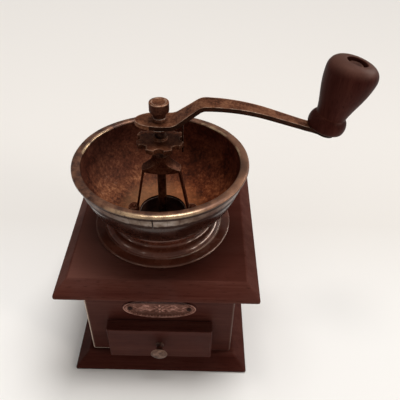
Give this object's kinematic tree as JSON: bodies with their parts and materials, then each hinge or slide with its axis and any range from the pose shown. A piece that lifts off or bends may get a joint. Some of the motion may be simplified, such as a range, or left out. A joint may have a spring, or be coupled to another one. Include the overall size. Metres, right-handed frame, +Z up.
{
  "type": "manual coffee grinder",
  "caption": "Box coffee mill with an open round hopper, star adjusting wheel, swan-neck crank with a turned handle, conical burrs and a small drawer for the ground coffee.",
  "frame": {"origin": "centre of the base board's underside, on the spindle's axis", "axes": "+Z up along the spindle, -Y towards the drawer's front, +X along the crank at rest"},
  "size_m": [0.189, 0.1352, 0.2189],
  "materials": {
    "stained_beech": "dark red-brown stain under satin varnish",
    "bare_beech": "unfinished, aged",
    "japanned_iron": "glossy dark brown japanning",
    "rusted_sheet": "rust-brown inside, dark japanning outside",
    "bare_sheet": "worn bare sheet, spotted with rust",
    "rusted_iron": "brown rust patina",
    "steel": "dull steel",
    "cast_iron": "bare cast iron",
    "brass": "tarnished"
  },
  "bodies": {
    "mill": {"base_board": "stained_beech", "front_panel": "stained_beech", "back_panel": "stained_beech", "left_panel": "stained_beech", "right_panel": "stained_beech", "top_board": "stained_beech", "base_screws": "steel", "left_runner": "bare_beech", "right_runner": "bare_beech", "badge_plate": "brass", "badge_nails": "brass", "hopper_foot": "japanned_iron", "hopper_bowl": "rusted_sheet", "rim_hoop": "bare_sheet", "bridge": "rusted_iron", "bridge_rivets": "rusted_iron", "bearing_bush": "brass", "burr_ring": "cast_iron", "burr_ring_screws": "steel", "lower_bridge": "cast_iron", "lower_bridge_screws": "steel"},
    "collar": {"thrust_collar": "rusted_iron"},
    "adjuster": {"star_wheel": "rusted_iron"},
    "spindle": {"spindle": "steel", "cone_burr": "cast_iron", "burr_nut": "steel", "crank_washer": "rusted_iron", "lock_spring": "rusted_iron", "crank_arm": "rusted_iron", "handle_pin": "steel"},
    "handle": {"handle_grip": "stained_beech"},
    "nut_washer": {"cap_washer": "steel"},
    "nut": {"thumb_nut": "rusted_iron"},
    "drawer": {"drawer_front": "stained_beech", "drawer_left": "bare_beech", "drawer_right": "bare_beech", "drawer_back": "bare_beech", "drawer_floor": "bare_beech", "drawer_knob": "brass"}
  },
  "joints": [
    {"name": "crank_spin", "type": "hinge", "parent": "mill", "child": "collar", "pos_m": [0, 0, 0.1552], "axis": [0, 0, 1], "continuous": true},
    {"name": "adjust_turn", "type": "hinge", "parent": "collar", "child": "adjuster", "pos_m": [0, 0, 0.1605], "axis": [0, 0, 1], "range_deg": [-180, 180], "deforming": ["lock_spring"]},
    {"name": "burr_lift", "type": "slide", "parent": "collar", "child": "spindle", "axis": [0, 0, 1], "range_m": [-0.0005, 0.0005]},
    {"name": "handle_spin", "type": "hinge", "parent": "spindle", "child": "handle", "pos_m": [0.1, 0, 0.17403], "axis": [0.2419, 0, 0.9703], "continuous": true},
    {"name": "cap_lift", "type": "slide", "parent": "spindle", "child": "nut_washer", "axis": [0, 0, 1], "range_m": [0, 0.007]},
    {"name": "cap_nut_turn", "type": "hinge", "parent": "nut_washer", "child": "nut", "pos_m": [0, 0, 0.1792], "axis": [0, 0, 1], "range_deg": [0, 2016]},
    {"name": "drawer_slide", "type": "slide", "parent": "mill", "child": "drawer", "axis": [0, -1, 0], "range_m": [0, 0.075]}
  ],
  "couplings": [
    {"joint": "adjust_turn", "follows": "burr_lift", "rad_per_m": -6283.2},
    {"joint": "cap_lift", "follows": "cap_nut_turn", "m_per_rad": 0.0001989}
  ]
}
